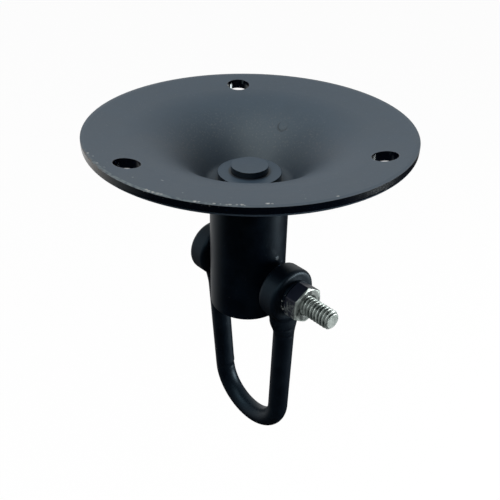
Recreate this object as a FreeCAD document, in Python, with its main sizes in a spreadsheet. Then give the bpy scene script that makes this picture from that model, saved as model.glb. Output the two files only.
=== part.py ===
"""Swivelling ceiling hook: a pressed funnel plate, a barrel that turns under it and a shackle on a cross bolt.

Frame, in millimetres: the origin is the centre of the ring that lies against the ceiling, +Z points up
into the ceiling and +X runs along the cross bolt towards its nut.
"""
import FreeCAD, Part
import os
from math import cos, radians, sin, sqrt, tan

import Sketcher

V = FreeCAD.Vector
# The sketcher's own numbers for its axes, and for the points of a line or an arc.
H_AXIS, V_AXIS = range(-1, -3, -1)
ORIGIN = H_AXIS
START, END, CENTRE = range(1, 4)

# Driving dimensions: name, value and what it measures.
SIZES = [
    ("plate_dia", 100.0, "ceiling plate, across the rim"),
    ("sheet", 3.0, "thickness of the pressed sheet"),
    ("rim_land", 1.2, "width of the flat ring that touches the ceiling"),
    ("rim_round", 1.4, "rounding of the rim's lower edge"),
    ("edge_break", 0.2, "rounding of the upper edges of the collar and the pin's head"),
    ("dish_slope", 8.5, "slope of the flange, in degrees"),
    ("funnel_start", 38.0, "radius where the flange bends into the funnel"),
    ("funnel_bend", 35.0, "radius of the funnel's upper bend"),
    ("wall_slope", 52.0, "steepest slope of the funnel, in degrees"),
    ("floor_bend", 3.0, "inside radius where the funnel meets its floor"),
    ("floor_depth", 18.0, "floor of the funnel below the rim"),
    ("screw_inset", 8.65, "middle of each screw hole, in from the rim"),
    ("screw_hole_dia", 7.6, "screw holes"),
    ("screw_bearing", 24.0, "first screw hole's angle from the cross bolt, in degrees"),
    ("pin_dia", 8.0, "shank of the pivot pin"),
    ("pin_head_dia", 11.8, "head of the pivot pin"),
    ("pin_head_height", 2.1, "head of the pivot pin, above the collar"),
    ("pin_grip", 16.0, "length of shank held in the barrel"),
    ("collar_dia", 20.0, "thrust collar on the funnel's floor"),
    ("collar_height", 3.5, "thrust collar"),
    ("running_gap", 0.08, "radial clearance where one piece turns in another"),
    ("seat_gap", 0.04, "radial clearance of pieces that stay together"),
    ("thrust_gap", 0.05, "axial play of the pieces that turn against each other"),
    ("barrel_gap", 0.3, "barrel below the plate"),
    ("barrel_dia", 25.2, "barrel"),
    ("barrel_round", 0.8, "rounding of the barrel's rims"),
    ("bolt_depth", 50.5, "axis of the cross bolt below the ceiling"),
    ("barrel_foot", 12.85, "barrel below the axis of the cross bolt"),
    ("bolt_dia", 6.35, "cross bolt, over the thread"),
    ("bolt_length", 59.2, "cross bolt, under its head"),
    ("bolt_tip", 0.9, "chamfer at the bolt's end"),
    ("bolt_head_dia", 11.1, "button head of the cross bolt"),
    ("bolt_head_height", 3.3, "button head of the cross bolt"),
    ("bolt_head_round", 2.4, "rounding of the button head"),
    ("socket_flats", 4.0, "hexagon socket in the bolt's head"),
    ("socket_depth", 2.0, "hexagon socket in the bolt's head"),
    ("across_flats", 11.1, "nut"),
    ("nut_height", 5.1, "nut"),
    ("nut_turn", 28.0, "the nut's first corner, in degrees above the level"),
    ("hex_bevel", 0.55, "depth of the bevel at the nut's corners"),
    ("nut_mouth", 0.4, "chamfer of the nut's bore"),
    ("washer_dia", 12.0, "spring washer"),
    ("washer_height", 1.1, "spring washer, pressed flat"),
    ("washer_slit", 0.8, "gap between the ends of the spring washer"),
    ("eye_dia", 18.3, "eyes of the shackle"),
    ("eye_width", 7.3, "eyes of the shackle, along the bolt"),
    ("eye_round", 1.4, "rounding of the eyes' rims"),
    ("eye_offset", 17.55, "middle of each eye from the middle of the shackle"),
    ("side_play", 0.8, "the shackle's shift towards the nut"),
    ("bow_swing", 2.1, "the shackle's swing about the bolt, in degrees"),
    ("rod_dia", 7.1, "rod of the shackle"),
    ("leg_lean", 3.5, "lean of each leg towards the other, in degrees"),
    ("leg_root", 8.0, "top of each leg, inside its eye, below the bolt"),
    ("bow_depth", 66.8, "bottom of the bow below the bolt, at the rod's centre line"),
    ("neck_start", 17.5, "where the flare leaves the leg, below the bolt"),
    ("neck_width", 11.6, "flare of the leg where it enters its eye"),
    ("neck_inset", 0.5, "flare narrower than the rod, along the bolt"),
]

# Top of the barrel, below the ceiling.
BARREL_TOP = "(sizes.floor_depth + sizes.sheet + sizes.barrel_gap)"
# Where the bolt's head and the washer lie against the eyes, from the middle of the shackle.
EYE_FACE = "(sizes.eye_offset + sizes.eye_width / 2 + sizes.thrust_gap)"

doc = FreeCAD.newDocument("ceiling_hook")


def make_sheet():
    """The sheet of driving dimensions: name, value and note in one row each."""
    sheet = doc.addObject("Spreadsheet::Sheet", "sizes")
    for row, (alias, value, note) in enumerate(SIZES, start=1):
        sheet.set("A%d" % row, alias)
        sheet.set("B%d" % row, "%g" % value)
        sheet.set("C%d" % row, note)
        sheet.setAlias("B%d" % row, alias)
    doc.recompute()
    return sheet


sizes = make_sheet()


# Helpers for bodies and sketches.
def new_body(name):
    body = doc.addObject("PartDesign::Body", name)
    body.Label = name
    return body


def plane(body, role):
    return next(item for item in body.Origin.OriginFeatures if item.Role == role)


def new_sketch(body, name, role="XZ_Plane", lift=None):
    """A sketch on one of the body's own planes; lift is an expression for its distance from that plane."""
    sketch = body.newObject("Sketcher::SketchObject", name)
    sketch.AttachmentSupport = [(plane(body, role), "")]
    sketch.MapMode = "FlatFace"
    if lift:
        sketch.setExpression("AttachmentOffset.Base.z", lift)
    return sketch


def segment(sketch, start, end):
    return sketch.addGeometry(Part.LineSegment(V(*start, 0), V(*end, 0)), False)


def arc(sketch, centre, radius, first, last):
    """Arc of a circle, counter-clockwise between two angles in degrees."""
    circle = Part.Circle(V(*centre, 0), V(0, 0, 1), radius)
    return sketch.addGeometry(Part.ArcOfCircle(circle, radians(first), radians(last)), False)


def fix(sketch, kind, *where):
    return sketch.addConstraint(Sketcher.Constraint(kind, *where))


def drive(sketch, expression, kind, *where):
    """A dimension that takes its value from the sheet."""
    index = sketch.addConstraint(Sketcher.Constraint(kind, *where))
    sketch.setExpression("Constraints[%d]" % index, expression)
    return index


def centred_circle(sketch, expression):
    """A circle round the sketch's origin; the expression is its diameter."""
    circle = sketch.addGeometry(Part.Circle(V(0, 0, 0), V(0, 0, 1), sizes.pin_dia), False)
    fix(sketch, "Coincident", circle, CENTRE, ORIGIN, 1)
    drive(sketch, expression, "Diameter", circle, 2 * sizes.pin_dia)
    return circle


def outline(sketch, points, place):
    """A closed outline of straight lines; place holds (x, y) expressions for each corner."""
    lines = []
    for start, end in zip(points, points[1:] + points[:1]):
        lines.append(segment(sketch, start, end))
    for line, following in zip(lines, lines[1:] + lines[:1]):
        fix(sketch, "Coincident", line, END, following, START)
    for line, (x, y) in zip(lines, place):
        for kind, expression in (("DistanceX", x), ("DistanceY", y)):
            if expression == "0":
                fix(sketch, "PointOnObject", line, START, V_AXIS if kind == "DistanceX" else H_AXIS)
            else:
                drive(sketch, expression, kind, ORIGIN, 1, line, START, 1.0)
    return lines


def hexagon(sketch, flats, turn):
    """A hexagon round the origin over the size called flats, its first corner turned by an expression."""
    radius = getattr(sizes, flats) / sqrt(3)
    ring = sketch.addGeometry(Part.Circle(V(0, 0, 0), V(0, 0, 1), radius), True)
    fix(sketch, "Coincident", ring, CENTRE, ORIGIN, 1)
    drive(sketch, "2 * sizes.%s / sqrt(3)" % flats, "Diameter", ring, 2 * radius)
    corners = [(radius * cos(radians(60 * k + 20)), radius * sin(radians(60 * k + 20))) for k in range(6)]
    lines = [segment(sketch, corners[k], corners[(k + 1) % 6]) for k in range(6)]
    for k in range(6):
        fix(sketch, "Coincident", lines[k], END, lines[(k + 1) % 6], START)
        fix(sketch, "PointOnObject", lines[k], START, ring)
    for line in lines[1:]:
        fix(sketch, "Equal", lines[0], line)
    spoke = sketch.addGeometry(Part.LineSegment(V(0, 0, 0), V(*corners[0], 0)), True)
    fix(sketch, "Coincident", spoke, START, ORIGIN, 1)
    fix(sketch, "Coincident", spoke, END, lines[0], START)
    drive(sketch, turn, "Angle", spoke, radians(20))
    return lines


def pad(body, name, sketch, expression, both_ways=False, reverse=False):
    feature = body.newObject("PartDesign::Pad", name)
    feature.Profile = sketch
    feature.setExpression("Length", expression)
    if both_ways:
        feature.SideType = "Symmetric"
    feature.Reversed = reverse
    return feature


def cut(body, name, sketch, depth=None, both_ways=False, reverse=False):
    """A pocket as deep as the expression says, or right through, that has to take something away."""
    doc.recompute()
    before = body.Tip.Shape.Volume
    feature = body.newObject("PartDesign::Pocket", name)
    feature.Profile = sketch
    if depth:
        feature.setExpression("Length", depth)
    else:
        feature.Type = "ThroughAll"
    if both_ways:
        feature.SideType = "Symmetric"
    feature.Reversed = reverse
    doc.recompute()
    if feature.Shape.Volume > before - 0.01:
        raise RuntimeError(name + " cuts nothing")
    return feature


def turned(body, name, sketch, axis="V_Axis", groove=False):
    """A revolution, or a groove, of the sketch round one of its own axes."""
    feature = body.newObject("PartDesign::Groove" if groove else "PartDesign::Revolution", name)
    feature.Profile = sketch
    feature.ReferenceAxis = (sketch, [axis])
    feature.Angle = 360
    return feature


def rounded(body, name, base, test, expression, kind="PartDesign::Fillet"):
    """Fillet or chamfer on the edges of base that pass the test."""
    doc.recompute()
    edges = ["Edge%d" % (k + 1) for k, edge in enumerate(base.Shape.Edges) if test(edge)]
    feature = body.newObject(kind, name)
    feature.Base = (base, edges)
    feature.setExpression("Radius" if kind.endswith("Fillet") else "Size", expression)
    doc.recompute()
    return feature


def ring_edge(edge, radius, **level):
    """True for a full circle of this radius, at the level that x= or z= gives if there is one."""
    if not (edge.Closed and edge.Curve.TypeId == "Part::GeomCircle"):
        return False
    level_off = [abs(getattr(edge.Curve.Center, axis) - value) for axis, value in level.items()]
    return max(level_off + [abs(edge.Curve.Radius - radius)]) < 0.01


def bevel(body, name, level, value, inward):
    """Cone cut that takes the nut's corners off at the face x = level; inward is 1 or -1."""
    before = body.Tip.Shape.Volume
    corner = sizes.across_flats / sqrt(3)
    depth = sizes.hex_bevel
    sketch = new_sketch(body, name + "_section")
    sign = "+" if inward > 0 else "-"
    radius = "sizes.across_flats / sqrt(3)"
    outline(
        sketch,
        [(value, corner - depth * sqrt(3)), (value, corner), (value + inward * depth, corner)],
        [(level, radius + " - sizes.hex_bevel * sqrt(3)"), (level, radius),
         ("%s %s sizes.hex_bevel" % (level, sign), radius)],
    )
    feature = turned(body, name, sketch, "H_Axis", groove=True)
    doc.recompute()
    if feature.Shape.Volume > before - 0.01:
        raise RuntimeError(name + " cuts nothing")


def plate_profile(body):
    """Half section of the pressed plate: land, flange, funnel and floor, at one thickness all the way."""
    rim = sizes.plate_dia / 2
    slope, steep = radians(sizes.dish_slope), radians(sizes.wall_slope)
    sheet = sizes.sheet
    bend = (sizes.funnel_start, -(rim - sizes.rim_land - sizes.funnel_start) * tan(slope))
    upper = (bend[0] + sizes.funnel_bend * sin(slope), bend[1] - sizes.funnel_bend * cos(slope))
    drop = sizes.floor_depth + upper[1] + sizes.funnel_bend * cos(steep) - sizes.floor_bend * (1 - cos(steep))
    run = drop / tan(steep)
    lower = (
        upper[0] - (sizes.funnel_bend + sizes.floor_bend) * sin(steep) - run,
        sizes.floor_bend - sizes.floor_depth,
    )
    hole = sizes.pin_dia / 2 + sizes.running_gap

    def on(centre, radius, angle):
        return centre[0] + radius * cos(radians(angle)), centre[1] + radius * sin(radians(angle))

    sketch = new_sketch(body, "plate_section")
    high = (90 + sizes.dish_slope, 90 + sizes.wall_slope)
    low = (-90, sizes.wall_slope - 90)
    outer, inner = sizes.funnel_bend, sizes.funnel_bend - sheet
    small, large = sizes.floor_bend, sizes.floor_bend + sheet
    edge = (rim, on(upper, inner, high[0])[1] + (rim - on(upper, inner, high[0])[0]) * tan(slope))

    land = segment(sketch, (rim, 0), (rim - sizes.rim_land, 0))
    flange = segment(sketch, (rim - sizes.rim_land, 0), bend)
    crest = arc(sketch, upper, outer, *high)
    wall = segment(sketch, on(upper, outer, high[1]), on(lower, small, low[1]))
    heel = arc(sketch, lower, small, *low)
    floor = segment(sketch, on(lower, small, low[0]), (hole, -sizes.floor_depth))
    bore = segment(sketch, (hole, -sizes.floor_depth), (hole, -sizes.floor_depth - sheet))
    floor_under = segment(sketch, (hole, -sizes.floor_depth - sheet), on(lower, large, low[0]))
    heel_under = arc(sketch, lower, large, *low)
    wall_under = segment(sketch, on(lower, large, low[1]), on(upper, inner, high[1]))
    crest_under = arc(sketch, upper, inner, *high)
    flange_under = segment(sketch, on(upper, inner, high[0]), edge)
    rim_edge = segment(sketch, edge, (rim, 0))

    fix(sketch, "Coincident", land, END, flange, START)
    fix(sketch, "Tangent", flange, END, crest, START)
    fix(sketch, "Tangent", crest, END, wall, START)
    fix(sketch, "Tangent", wall, END, heel, END)
    fix(sketch, "Tangent", heel, START, floor, START)
    fix(sketch, "Coincident", floor, END, bore, START)
    fix(sketch, "Coincident", bore, END, floor_under, START)
    fix(sketch, "Tangent", floor_under, END, heel_under, START)
    fix(sketch, "Tangent", heel_under, END, wall_under, START)
    fix(sketch, "Tangent", wall_under, END, crest_under, END)
    fix(sketch, "Tangent", crest_under, START, flange_under, START)
    fix(sketch, "Coincident", flange_under, END, rim_edge, START)
    fix(sketch, "Coincident", rim_edge, END, land, START)
    fix(sketch, "Coincident", crest, CENTRE, crest_under, CENTRE)
    fix(sketch, "Coincident", heel, CENTRE, heel_under, CENTRE)
    fix(sketch, "Parallel", flange, flange_under)
    fix(sketch, "Parallel", wall, wall_under)
    fix(sketch, "PointOnObject", land, START, H_AXIS)
    fix(sketch, "Horizontal", land)
    fix(sketch, "Horizontal", floor)
    fix(sketch, "Vertical", bore)
    fix(sketch, "Horizontal", floor_under)
    fix(sketch, "Vertical", rim_edge)
    drive(sketch, "sizes.plate_dia / 2", "DistanceX", ORIGIN, 1, land, START, rim)
    drive(sketch, "sizes.rim_land", "Distance", land, sizes.rim_land)
    drive(sketch, "sizes.funnel_start", "DistanceX", ORIGIN, 1, crest, START, bend[0])
    drive(sketch, "sizes.dish_slope", "Angle", flange_under, slope)
    drive(sketch, "sizes.funnel_bend", "Radius", crest, outer)
    drive(sketch, "sizes.floor_bend", "Radius", heel, small)
    drive(sketch, "sizes.wall_slope", "Angle", wall_under, steep)
    drive(sketch, "-sizes.floor_depth", "DistanceY", ORIGIN, 1, floor, START, -sizes.floor_depth)
    drive(sketch, "sizes.pin_dia / 2 + sizes.running_gap", "DistanceX", ORIGIN, 1, bore, START, hole)
    drive(sketch, "sizes.sheet", "Distance", bore, sheet)
    return sketch


def make_ceiling_plate():
    """Pressed from one sheet: a shallow dished flange, a trumpet-shaped funnel and a flat floor."""
    body = new_body("ceiling_plate")
    pressing = turned(body, "pressing", plate_profile(body))
    doc.recompute()

    sketch = new_sketch(body, "screw_hole", "XY_Plane")
    angle = radians(sizes.screw_bearing)
    reach = sizes.plate_dia / 2 - sizes.screw_inset
    centre = (reach * cos(angle), reach * sin(angle))
    circle = sketch.addGeometry(Part.Circle(V(*centre, 0), V(0, 0, 1), sizes.screw_hole_dia / 2), False)
    spoke = sketch.addGeometry(Part.LineSegment(V(0, 0, 0), V(*centre, 0)), True)
    fix(sketch, "Coincident", spoke, START, ORIGIN, 1)
    fix(sketch, "Coincident", spoke, END, circle, CENTRE)
    drive(sketch, "sizes.plate_dia / 2 - sizes.screw_inset", "Distance", spoke, reach)
    drive(sketch, "sizes.screw_bearing", "Angle", spoke, angle)
    drive(sketch, "sizes.screw_hole_dia", "Diameter", circle, sizes.screw_hole_dia)
    first = cut(body, "first_screw_hole", sketch, both_ways=True)

    holes = body.newObject("PartDesign::PolarPattern", "screw_holes")
    holes.Originals = [first]
    holes.Axis = (sketch, ["N_Axis"])
    holes.Angle = 360
    holes.Occurrences = 3
    body.Tip = holes
    doc.recompute()

    rim = sizes.plate_dia / 2
    rounded(
        body, "rim_rounding", holes,
        lambda edge: ring_edge(edge, rim) and edge.Curve.Center.z < -sizes.sheet / 2,
        "sizes.rim_round",
    )
    return body


def make_thrust_collar():
    """Thick ring on the funnel's floor that carries the load into the plate."""
    body = new_body("thrust_collar")
    sketch = new_sketch(body, "collar_ring", "XY_Plane")
    centred_circle(sketch, "sizes.collar_dia")
    centred_circle(sketch, "sizes.pin_dia + 2 * sizes.seat_gap")
    ring = pad(body, "collar_pad", sketch, "sizes.collar_height")
    radius = sizes.collar_dia / 2
    rounded(
        body, "collar_edge", ring,
        lambda edge: ring_edge(edge, radius, z=sizes.collar_height),
        "sizes.edge_break",
    )
    body.setExpression("Placement.Base.z", "sizes.thrust_gap - sizes.floor_depth")
    return body


def make_pivot_pin():
    """Headed pin: its head lies on the collar and its shank is held in the barrel."""
    body = new_body("pivot_pin")
    head, shank = sizes.pin_head_dia / 2, sizes.pin_dia / 2
    length = (
        sizes.collar_height + sizes.thrust_gap + sizes.sheet + sizes.barrel_gap + sizes.pin_grip
    )
    through = "(sizes.collar_height + sizes.thrust_gap + sizes.sheet + sizes.barrel_gap + sizes.pin_grip)"
    tip = 2 * sizes.edge_break
    sketch = new_sketch(body, "pin_section")
    outline(
        sketch,
        [(0, sizes.pin_head_height), (head, sizes.pin_head_height), (head, 0), (shank, 0),
         (shank, tip - length), (shank - tip, -length), (0, -length)],
        [("0", "sizes.pin_head_height"), ("sizes.pin_head_dia / 2", "sizes.pin_head_height"),
         ("sizes.pin_head_dia / 2", "0"), ("sizes.pin_dia / 2", "0"),
         ("sizes.pin_dia / 2", "2 * sizes.edge_break - " + through),
         ("sizes.pin_dia / 2 - 2 * sizes.edge_break", "-" + through), ("0", "-" + through)],
    )
    pin = turned(body, "pin_turning", sketch)
    rounded(
        body, "pin_edge", pin,
        lambda edge: ring_edge(edge, head, z=sizes.pin_head_height),
        "sizes.edge_break",
    )
    body.setExpression("Placement.Base.z", "sizes.thrust_gap + sizes.collar_height - sizes.floor_depth")
    return body


def make_barrel():
    """Turned steel barrel, bored from above for the pivot pin and across for the bolt."""
    body = new_body("barrel")
    bar = new_sketch(body, "barrel_round_bar", "XY_Plane")
    centred_circle(bar, "sizes.barrel_dia")
    height = "sizes.bolt_depth + sizes.barrel_foot - " + BARREL_TOP
    blank = pad(body, "barrel_blank", bar, height, reverse=True)
    radius = sizes.barrel_dia / 2
    rounded(
        body, "barrel_rims", blank,
        lambda edge: ring_edge(edge, radius),
        "sizes.barrel_round",
    )

    bore = new_sketch(body, "pin_bore", "XY_Plane")
    centred_circle(bore, "sizes.pin_dia + 2 * sizes.seat_gap")
    cut(body, "pin_drilling", bore, "sizes.pin_grip + 2 * sizes.edge_break")

    cross = new_sketch(body, "bolt_hole", "YZ_Plane")
    level = sizes.floor_depth + sizes.sheet + sizes.barrel_gap - sizes.bolt_depth
    circle = cross.addGeometry(Part.Circle(V(0, level, 0), V(0, 0, 1), sizes.bolt_dia / 2), False)
    fix(cross, "PointOnObject", circle, CENTRE, V_AXIS)
    drive(cross, BARREL_TOP + " - sizes.bolt_depth", "DistanceY", ORIGIN, 1, circle, CENTRE, level)
    drive(cross, "sizes.bolt_dia + 2 * sizes.running_gap", "Diameter", circle, sizes.bolt_dia)
    cut(body, "bolt_drilling", cross, both_ways=True)
    body.setExpression("Placement.Base.z", "-" + BARREL_TOP)
    return body


def eye_section(body):
    """Half section of one eye: a thick ring with rounded outer rims, bored for the bolt."""
    bore = sizes.bolt_dia / 2 + sizes.running_gap
    near, far = sizes.eye_offset - sizes.eye_width / 2, sizes.eye_offset + sizes.eye_width / 2
    outer, soft = sizes.eye_dia / 2, sizes.eye_round
    sketch = new_sketch(body, "eye_section")
    inner_wall = segment(sketch, (far, bore), (near, bore))
    near_face = segment(sketch, (near, bore), (near, outer - soft))
    near_rim = arc(sketch, (near + soft, outer - soft), soft, 90, 180)
    crown = segment(sketch, (near + soft, outer), (far - soft, outer))
    far_rim = arc(sketch, (far - soft, outer - soft), soft, 0, 90)
    far_face = segment(sketch, (far, outer - soft), (far, bore))
    fix(sketch, "Coincident", inner_wall, END, near_face, START)
    fix(sketch, "Tangent", near_face, END, near_rim, END)
    fix(sketch, "Tangent", near_rim, START, crown, START)
    fix(sketch, "Tangent", crown, END, far_rim, END)
    fix(sketch, "Tangent", far_rim, START, far_face, START)
    fix(sketch, "Coincident", far_face, END, inner_wall, START)
    fix(sketch, "Horizontal", inner_wall)
    fix(sketch, "Vertical", near_face)
    fix(sketch, "Horizontal", crown)
    fix(sketch, "Vertical", far_face)
    fix(sketch, "Equal", near_rim, far_rim)
    drive(sketch, "sizes.bolt_dia / 2 + sizes.running_gap", "DistanceY", ORIGIN, 1, inner_wall, END, bore)
    drive(sketch, "sizes.eye_offset - sizes.eye_width / 2", "DistanceX", ORIGIN, 1, near_face, START, near)
    drive(sketch, "sizes.eye_width", "Distance", inner_wall, sizes.eye_width)
    drive(sketch, "sizes.eye_dia / 2", "DistanceY", ORIGIN, 1, crown, START, outer)
    drive(sketch, "sizes.eye_round", "Radius", near_rim, soft)
    return sketch


def bow_path(body):
    """Centre line of half the bow: a quarter turn at the bottom, then one leaning leg up to its eye."""
    lean = radians(sizes.leg_lean)
    depth, root, spread = sizes.bow_depth, sizes.leg_root, sizes.eye_offset
    radius = (spread * cos(lean) - (depth - root) * sin(lean)) / (1 - sin(lean))
    sketch = new_sketch(body, "bow_path")
    bottom = arc(sketch, (0, radius - depth), radius, -90, -sizes.leg_lean)
    knee = (radius * cos(lean), radius - depth - radius * sin(lean))
    leg = segment(sketch, knee, (spread, -root))
    fix(sketch, "PointOnObject", bottom, CENTRE, V_AXIS)
    fix(sketch, "PointOnObject", bottom, START, V_AXIS)
    fix(sketch, "Tangent", bottom, END, leg, START)
    drive(sketch, "90 - sizes.leg_lean", "Angle", leg, radians(90) - lean)
    drive(sketch, "-sizes.bow_depth", "DistanceY", ORIGIN, 1, bottom, START, -depth)
    drive(sketch, "sizes.eye_offset", "DistanceX", ORIGIN, 1, leg, END, spread)
    drive(sketch, "-sizes.leg_root", "DistanceY", ORIGIN, 1, leg, END, -root)
    return sketch


def neck_section(body, name, depth, width):
    """Ellipse across a leg, depth below the bolt; depth and width are expressions."""
    sketch = new_sketch(body, name, "XY_Plane", "-(%s)" % depth)
    sketch.setExpression(
        "AttachmentOffset.Base.x",
        "sizes.eye_offset - (%s - sizes.leg_root) * tan(sizes.leg_lean)" % depth,
    )
    short, long = sizes.rod_dia / 2 - sizes.neck_inset, sizes.neck_width / 2
    ellipse = sketch.addGeometry(Part.Ellipse(V(0, long, 0), V(short, 0, 0), V(0, 0, 0)), False)
    sketch.exposeInternalGeometry(ellipse)
    major, minor = ellipse + 1, ellipse + 2
    fix(sketch, "Coincident", ellipse, CENTRE, ORIGIN, 1)
    fix(sketch, "Vertical", major)
    drive(sketch, width, "Distance", major, 2 * long)
    drive(sketch, "sizes.rod_dia - sizes.neck_inset", "Distance", minor, 2 * short)
    return sketch


def make_shackle():
    """Forged bow: a round rod bent to a U, each leg flaring into a thick round eye.

    Its own origin is on the bolt's axis, midway between the eyes.
    """
    body = new_body("shackle")
    eye = turned(body, "eye", eye_section(body), "H_Axis")

    path = bow_path(body)
    section = new_sketch(body, "rod_section", "YZ_Plane")
    circle = section.addGeometry(Part.Circle(V(0, -sizes.bow_depth, 0), V(0, 0, 1), sizes.rod_dia / 2), False)
    fix(section, "PointOnObject", circle, CENTRE, V_AXIS)
    drive(section, "-sizes.bow_depth", "DistanceY", ORIGIN, 1, circle, CENTRE, -sizes.bow_depth)
    drive(section, "sizes.rod_dia", "Diameter", circle, sizes.rod_dia)
    rod = body.newObject("PartDesign::AdditivePipe", "half_bow")
    rod.Profile = section
    rod.Spine = path
    doc.recompute()

    low, high = "sizes.neck_start", "sizes.leg_root"
    thin, wide = "(sizes.rod_dia - sizes.neck_inset / 2)", "sizes.neck_width"
    sections = [
        neck_section(body, "neck_low", low, thin),
        neck_section(body, "neck_middle", "(%s + %s) / 2" % (low, high), "0.75 * %s + 0.25 * %s" % (thin, wide)),
        neck_section(body, "neck_high", high, wide),
    ]
    neck = body.newObject("PartDesign::AdditiveLoft", "neck")
    neck.Profile = sections[0]
    neck.Sections = sections[1:]
    doc.recompute()

    pair = body.newObject("PartDesign::Mirrored", "both_sides")
    pair.Originals = [eye, rod, neck]
    pair.MirrorPlane = (plane(body, "YZ_Plane"), [""])
    body.Tip = pair
    doc.recompute()
    body.Placement.Rotation = FreeCAD.Rotation(V(1, 0, 0), sizes.bow_swing)
    body.setExpression("Placement.Rotation.Angle", "sizes.bow_swing")
    body.setExpression("Placement.Base.x", "sizes.side_play")
    body.setExpression("Placement.Base.z", "-sizes.bolt_depth")
    return body


def make_cross_bolt():
    """Bolt with a button head and a hexagon socket; its own origin is under the head."""
    body = new_body("cross_bolt")
    head_outline = new_sketch(body, "head_outline", "YZ_Plane")
    centred_circle(head_outline, "sizes.bolt_head_dia")
    head = pad(body, "head", head_outline, "sizes.bolt_head_height", reverse=True)
    rounded(
        body, "head_rounding", head,
        lambda edge: ring_edge(edge, sizes.bolt_head_dia / 2, x=-sizes.bolt_head_height),
        "sizes.bolt_head_round",
    )
    socket = new_sketch(body, "socket_outline", "YZ_Plane", "-sizes.bolt_head_height")
    hexagon(socket, "socket_flats", "0")
    cut(body, "socket", socket, "sizes.socket_depth", reverse=True)
    shank_outline = new_sketch(body, "shank_outline", "YZ_Plane")
    centred_circle(shank_outline, "sizes.bolt_dia")
    shank = pad(body, "shank", shank_outline, "sizes.bolt_length")
    rounded(
        body, "tip", shank,
        lambda edge: ring_edge(edge, sizes.bolt_dia / 2, x=sizes.bolt_length),
        "sizes.bolt_tip", "PartDesign::Chamfer",
    )
    body.setExpression("Placement.Base.x", "sizes.side_play - " + EYE_FACE)
    body.setExpression("Placement.Base.z", "-sizes.bolt_depth")
    return body


def make_spring_washer():
    """Split ring between the nut and the front eye."""
    body = new_body("spring_washer")
    ring = new_sketch(body, "washer_ring", "YZ_Plane")
    centred_circle(ring, "sizes.washer_dia")
    centred_circle(ring, "sizes.bolt_dia + 2 * sizes.seat_gap")
    pad(body, "washer_blank", ring, "sizes.washer_height")
    doc.recompute()
    slit = new_sketch(body, "washer_slit", "XY_Plane")
    side, top = sizes.washer_slit, sizes.washer_height
    outline(
        slit,
        [(0, -side), (top, 0), (top, side), (0, 0)],
        [("0", "-sizes.washer_slit"), ("sizes.washer_height", "0"),
         ("sizes.washer_height", "sizes.washer_slit"), ("0", "0")],
    )
    cut(body, "washer_split", slit, reverse=True)
    body.setExpression("Placement.Base.x", "sizes.side_play + " + EYE_FACE)
    body.setExpression("Placement.Base.z", "-sizes.bolt_depth")
    return body


def make_hex_nut():
    """Hexagon nut, bevelled on both faces."""
    body = new_body("hex_nut")
    flats = new_sketch(body, "nut_outline", "YZ_Plane")
    hexagon(flats, "across_flats", "sizes.nut_turn")
    centred_circle(flats, "sizes.bolt_dia + 2 * sizes.seat_gap")
    blank = pad(body, "nut_blank", flats, "sizes.nut_height")
    bore = sizes.bolt_dia / 2 + sizes.seat_gap
    rounded(
        body, "nut_mouths", blank,
        lambda edge: ring_edge(edge, bore),
        "sizes.nut_mouth", "PartDesign::Chamfer",
    )
    bevel(body, "outer_bevel", "sizes.nut_height", sizes.nut_height, -1)
    bevel(body, "inner_bevel", "0", 0.0, 1)
    body.setExpression("Placement.Base.x", "sizes.side_play + sizes.washer_height + " + EYE_FACE)
    body.setExpression("Placement.Base.z", "-sizes.bolt_depth")
    return body


MAKERS = [
    make_ceiling_plate, make_thrust_collar, make_pivot_pin, make_barrel,
    make_shackle, make_cross_bolt, make_spring_washer, make_hex_nut,
]
pieces = [maker() for maker in MAKERS]
doc.recompute()

for item in doc.Objects:
    if {"Invalid", "Error"} & set(item.State):
        raise RuntimeError("failed feature: " + item.Name)
for piece in pieces:
    if piece.Shape.isNull() or not piece.Shape.isValid():
        raise RuntimeError("bad solid: " + piece.Label)

os.makedirs("parts", exist_ok=True)
for piece in pieces:
    piece.Shape.exportStep("parts/%s.step" % piece.Label)
    box = piece.Shape.BoundBox
    print(
        "%-14s %8.0f mm3  x %6.1f %6.1f  y %6.1f %6.1f  z %7.1f %7.1f"
        % (piece.Label, piece.Shape.Volume, box.XMin, box.XMax, box.YMin, box.YMax, box.ZMin, box.ZMax)
    )
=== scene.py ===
# %% [markdown]
# # A swivelling ceiling hook
#
# The real object is four things hung from each other: a pressed steel plate that is screwed to the
# ceiling, a short steel barrel that turns under it on a headed pin, a cross bolt through the barrel,
# and a forged shackle that swings on that bolt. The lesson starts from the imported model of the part,
# which already has every size right, and gives it the surfaces, the thread and the paint of the real one.

import bpy
import numpy as np
from mathutils import Matrix


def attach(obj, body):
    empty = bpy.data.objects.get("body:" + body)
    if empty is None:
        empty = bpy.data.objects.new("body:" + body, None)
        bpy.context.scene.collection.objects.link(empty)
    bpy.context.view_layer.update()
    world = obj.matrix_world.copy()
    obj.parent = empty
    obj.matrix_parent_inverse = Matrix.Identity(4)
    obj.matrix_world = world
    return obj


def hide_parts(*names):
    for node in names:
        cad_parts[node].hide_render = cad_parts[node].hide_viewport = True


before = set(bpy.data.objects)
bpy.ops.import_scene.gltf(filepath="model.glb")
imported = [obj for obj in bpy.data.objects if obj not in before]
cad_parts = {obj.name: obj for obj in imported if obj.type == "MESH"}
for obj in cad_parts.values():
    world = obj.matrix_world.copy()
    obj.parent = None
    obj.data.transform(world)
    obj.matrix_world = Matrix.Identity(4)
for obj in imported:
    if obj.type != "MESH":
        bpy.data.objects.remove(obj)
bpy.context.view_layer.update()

MM = 0.001
print("nodes:", sorted(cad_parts))

# %% [markdown]
# ## The camera
#
# The plate's rim is a circle, so its ellipse in a picture gives the camera's height and tilt, and the
# three screw holes give its distance. The picture was taken from close by, about 23 cm, with a lens of
# normal angle. A camera in Blender looks along its own -Z axis, so its matrix is built from the three
# directions right, up and back, and a small roll is put in by turning right and up together.


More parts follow.
